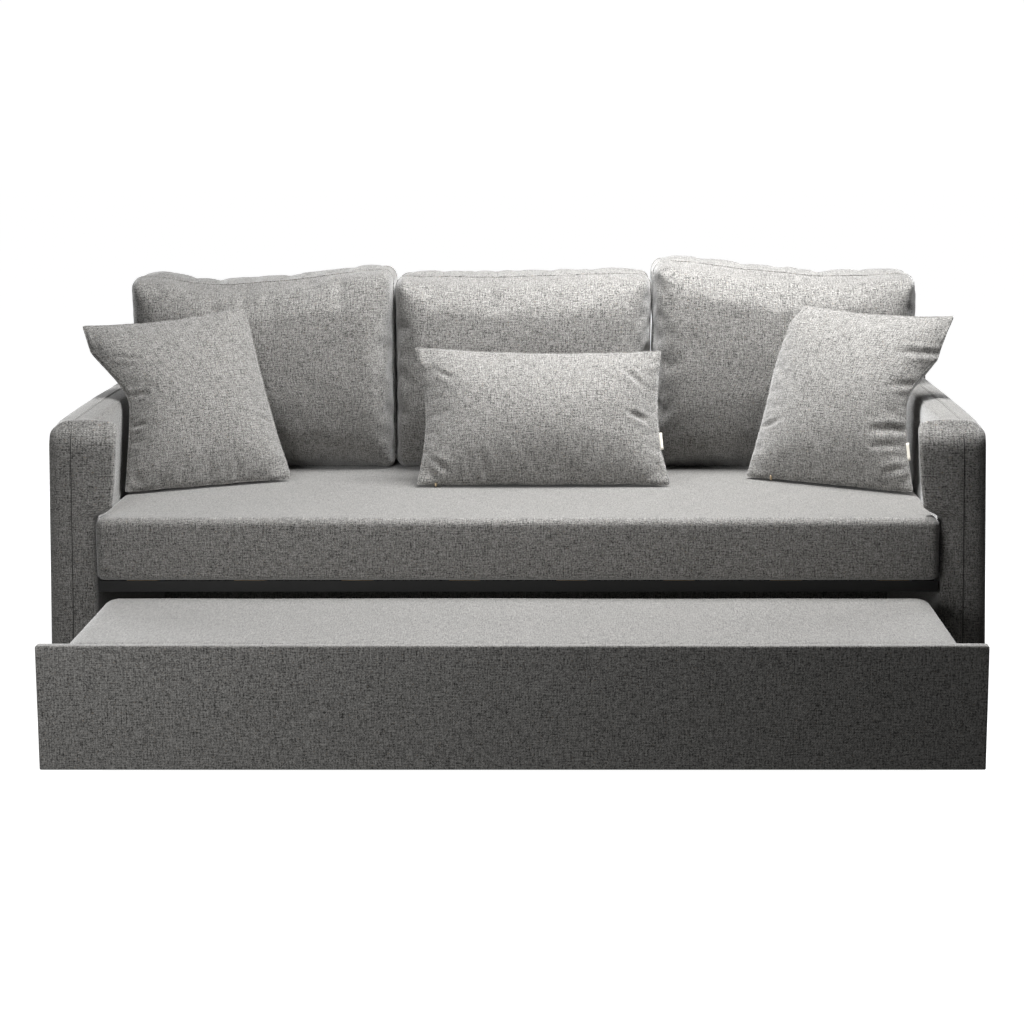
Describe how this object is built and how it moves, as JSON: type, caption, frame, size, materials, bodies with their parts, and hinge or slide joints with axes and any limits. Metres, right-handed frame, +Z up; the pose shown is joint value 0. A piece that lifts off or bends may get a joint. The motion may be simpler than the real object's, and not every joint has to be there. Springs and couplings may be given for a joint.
{
  "type": "trundle bed",
  "caption": "Upholstered sofa bed with padded arms, loose back cushions and pillows, and a second mattress on a castored trundle that rolls out from under the seat.",
  "frame": {"origin": "on the floor, under the middle of the whole object with the trundle pulled out", "axes": "+X to the sitter's left along the length, +Y from the front to the rear, +Z up"},
  "size_m": [2.1198, 1.482, 0.9593],
  "materials": {
    "grey_fabric": "matte",
    "frame_timber": "matte",
    "plywood": "matte",
    "black_steel": "satin",
    "zinc_steel": "satin",
    "black_plastic": "matte",
    "wheel_grey": "matte"
  },
  "bodies": {
    "sofa": {"left_arm_cover": "grey_fabric", "left_arm_front_post": "frame_timber", "left_arm_rear_post": "frame_timber", "left_arm_top_rail": "frame_timber", "left_arm_bottom_rail": "frame_timber", "right_arm_cover": "grey_fabric", "right_arm_front_post": "frame_timber", "right_arm_rear_post": "frame_timber", "right_arm_top_rail": "frame_timber", "right_arm_bottom_rail": "frame_timber", "back_cover": "grey_fabric", "back_top_rail": "frame_timber", "back_bottom_rail": "frame_timber", "back_left_post": "frame_timber", "back_middle_post": "frame_timber", "back_right_post": "frame_timber", "seat_front_rail": "black_steel", "seat_rear_rail": "black_steel", "seat_left_rail": "black_steel", "seat_right_rail": "black_steel", "seat_slat_1": "plywood", "seat_slat_2": "plywood", "seat_slat_3": "plywood", "seat_slat_4": "plywood", "seat_slat_5": "plywood", "seat_slat_6": "plywood", "seat_slat_7": "plywood", "seat_slat_8": "plywood", "seat_bolt_front_left": "zinc_steel", "seat_bolt_front_right": "zinc_steel", "seat_bolt_rear_left": "zinc_steel", "seat_bolt_rear_right": "zinc_steel", "glide_front_left": "black_plastic", "glide_front_right": "black_plastic", "glide_rear_left": "black_plastic", "glide_rear_right": "black_plastic", "seat_mattress": "grey_fabric", "back_cushion_left": "grey_fabric", "back_cushion_centre": "grey_fabric", "back_cushion_right": "grey_fabric", "left_pillow": "grey_fabric", "right_pillow": "grey_fabric", "lumbar_pillow": "grey_fabric"},
    "trundle": {"trundle_front_cover": "grey_fabric", "trundle_front_board": "plywood", "trundle_left_board": "plywood", "trundle_left_bearer": "frame_timber", "trundle_right_board": "plywood", "trundle_right_bearer": "frame_timber", "trundle_rear_board": "plywood", "trundle_deck": "plywood", "trundle_mattress": "grey_fabric", "front_left_castor_fork": "black_steel", "front_right_castor_fork": "black_steel", "rear_left_castor_fork": "black_steel", "rear_right_castor_fork": "black_steel"},
    "front_left_wheel": {"front_left_castor_wheel": "wheel_grey"},
    "front_right_wheel": {"front_right_castor_wheel": "wheel_grey"},
    "rear_left_wheel": {"rear_left_castor_wheel": "wheel_grey"},
    "rear_right_wheel": {"rear_right_castor_wheel": "wheel_grey"}
  },
  "joints": [
    {"name": "trundle_slide", "type": "slide", "parent": "sofa", "child": "trundle", "axis": [0, -1, 0], "range_m": [-0.49, 0.04]},
    {"name": "front_left_wheel_turn", "type": "hinge", "parent": "trundle", "child": "front_left_wheel", "pos_m": [-0.86, -0.666, 0.025], "axis": [1, 0, 0], "range_deg": [-1150, 95]},
    {"name": "front_right_wheel_turn", "type": "hinge", "parent": "trundle", "child": "front_right_wheel", "pos_m": [0.86, -0.666, 0.025], "axis": [1, 0, 0], "range_deg": [-1150, 95]},
    {"name": "rear_left_wheel_turn", "type": "hinge", "parent": "trundle", "child": "rear_left_wheel", "pos_m": [-0.86, -0.301, 0.025], "axis": [1, 0, 0], "range_deg": [-1150, 95]},
    {"name": "rear_right_wheel_turn", "type": "hinge", "parent": "trundle", "child": "rear_right_wheel", "pos_m": [0.86, -0.301, 0.025], "axis": [1, 0, 0], "range_deg": [-1150, 95]}
  ],
  "couplings": [
    {"joint": "front_left_wheel_turn", "follows": "trundle_slide", "rad_per_m": 40.816},
    {"joint": "front_right_wheel_turn", "follows": "trundle_slide", "rad_per_m": 40.816},
    {"joint": "rear_left_wheel_turn", "follows": "trundle_slide", "rad_per_m": 40.816},
    {"joint": "rear_right_wheel_turn", "follows": "trundle_slide", "rad_per_m": 40.816}
  ]
}
